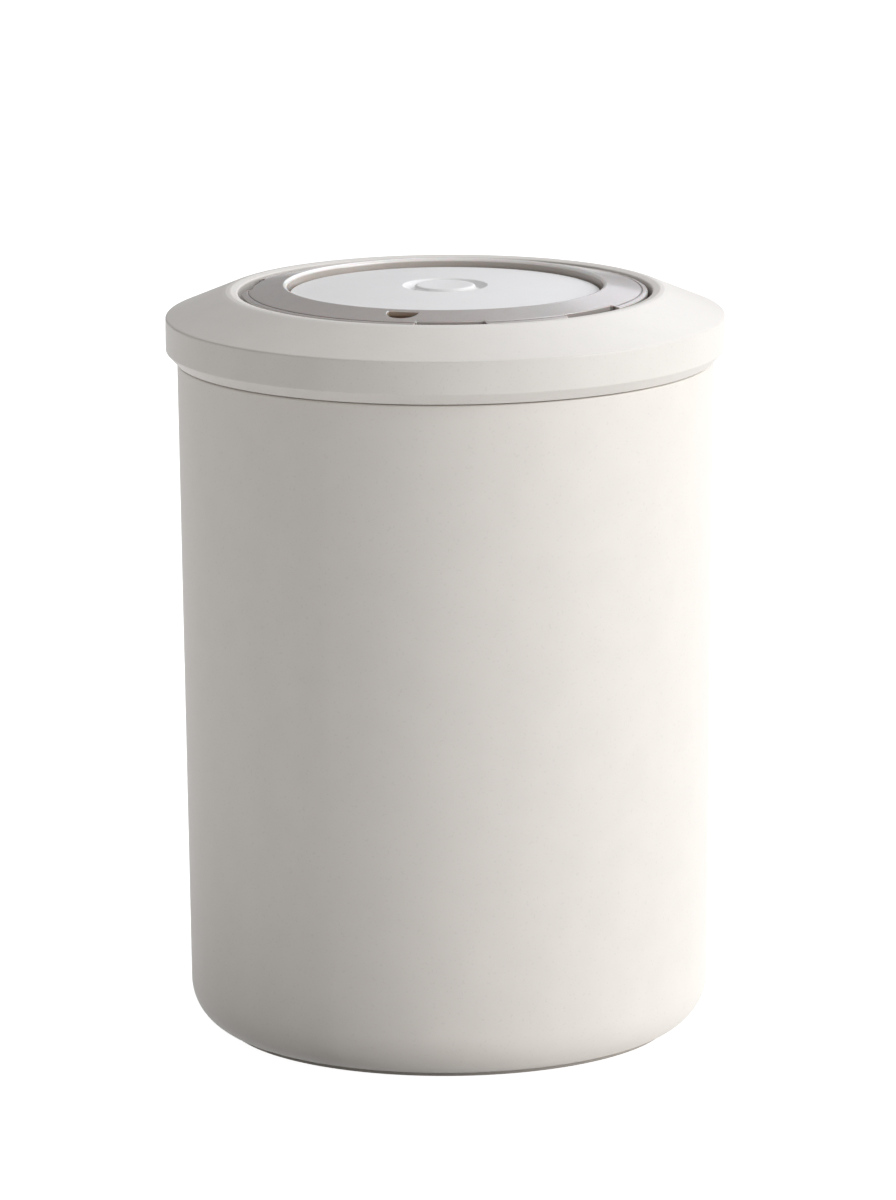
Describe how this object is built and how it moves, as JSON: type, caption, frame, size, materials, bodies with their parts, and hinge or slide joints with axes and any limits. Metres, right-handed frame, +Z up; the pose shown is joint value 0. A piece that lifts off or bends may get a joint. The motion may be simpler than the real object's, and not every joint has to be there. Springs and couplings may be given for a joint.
{
  "type": "coffee canister",
  "caption": "Cylindrical coffee canister with a push-fit lid, one-way degassing valve, press-to-vent button and turning date ring.",
  "frame": {"origin": "centre of the foot pad's underside, on the surface that the canister stands on", "axes": "+Z up along the canister's axis; the front faces -Y and +X is to the right seen from the front"},
  "size_m": [0.128, 0.128, 0.1734],
  "materials": {
    "shell_white": "fine satin grain, warm white",
    "liner_steel": "drawn and brushed stainless steel",
    "cap_white": "smooth satin, neutral white",
    "ring_smoke": "frosted smoke plastic",
    "scale_brown": "matt with printed numbers",
    "inner_plastic": "natural white moulded plastic",
    "silicone_clear": "food-grade silicone, milky",
    "silicone_dark": "dark grey silicone",
    "silicone_amber": "amber valve silicone",
    "bright_steel": "plain stainless steel wire, screws and mesh"
  },
  "bodies": {
    "canister": {"outer_shell": "shell_white", "steel_liner": "liner_steel", "foot_pad": "silicone_dark"},
    "lid": {"lid_cover": "shell_white", "lid_plug": "inner_plastic", "lid_gasket": "silicone_clear", "lid_screws": "bright_steel", "scale_ring": "scale_brown", "centre_cap": "cap_white", "valve_housing": "inner_plastic", "housing_o_ring": "silicone_dark", "disc_keeper": "inner_plastic", "filter_mesh": "bright_steel", "filter_retainer": "inner_plastic", "button_spring": "bright_steel"},
    "date_ring": {"date_ring": "ring_smoke"},
    "button": {"vent_button": "cap_white", "button_stem": "bright_steel", "poppet_seal": "silicone_clear"},
    "degassing_disc": {"degassing_disc": "silicone_amber"}
  },
  "joints": [
    {"name": "lid_lift", "type": "slide", "parent": "canister", "child": "lid", "axis": [0, 0, 1], "range_m": [0, 0.06]},
    {"name": "date_ring_turn", "type": "hinge", "parent": "lid", "child": "date_ring", "pos_m": [0, 0, 0.1697], "axis": [0, 0, 1], "continuous": true},
    {"name": "button_press", "type": "slide", "parent": "lid", "child": "button", "axis": [0, 0, -1], "range_m": [0, 0.002], "stiffness_N_per_m": 400, "springref_m": -0.001, "deforming": ["button_spring"]},
    {"name": "degassing_lift", "type": "slide", "parent": "lid", "child": "degassing_disc", "axis": [0, 0, 1], "range_m": [0, 0.0008]}
  ]
}
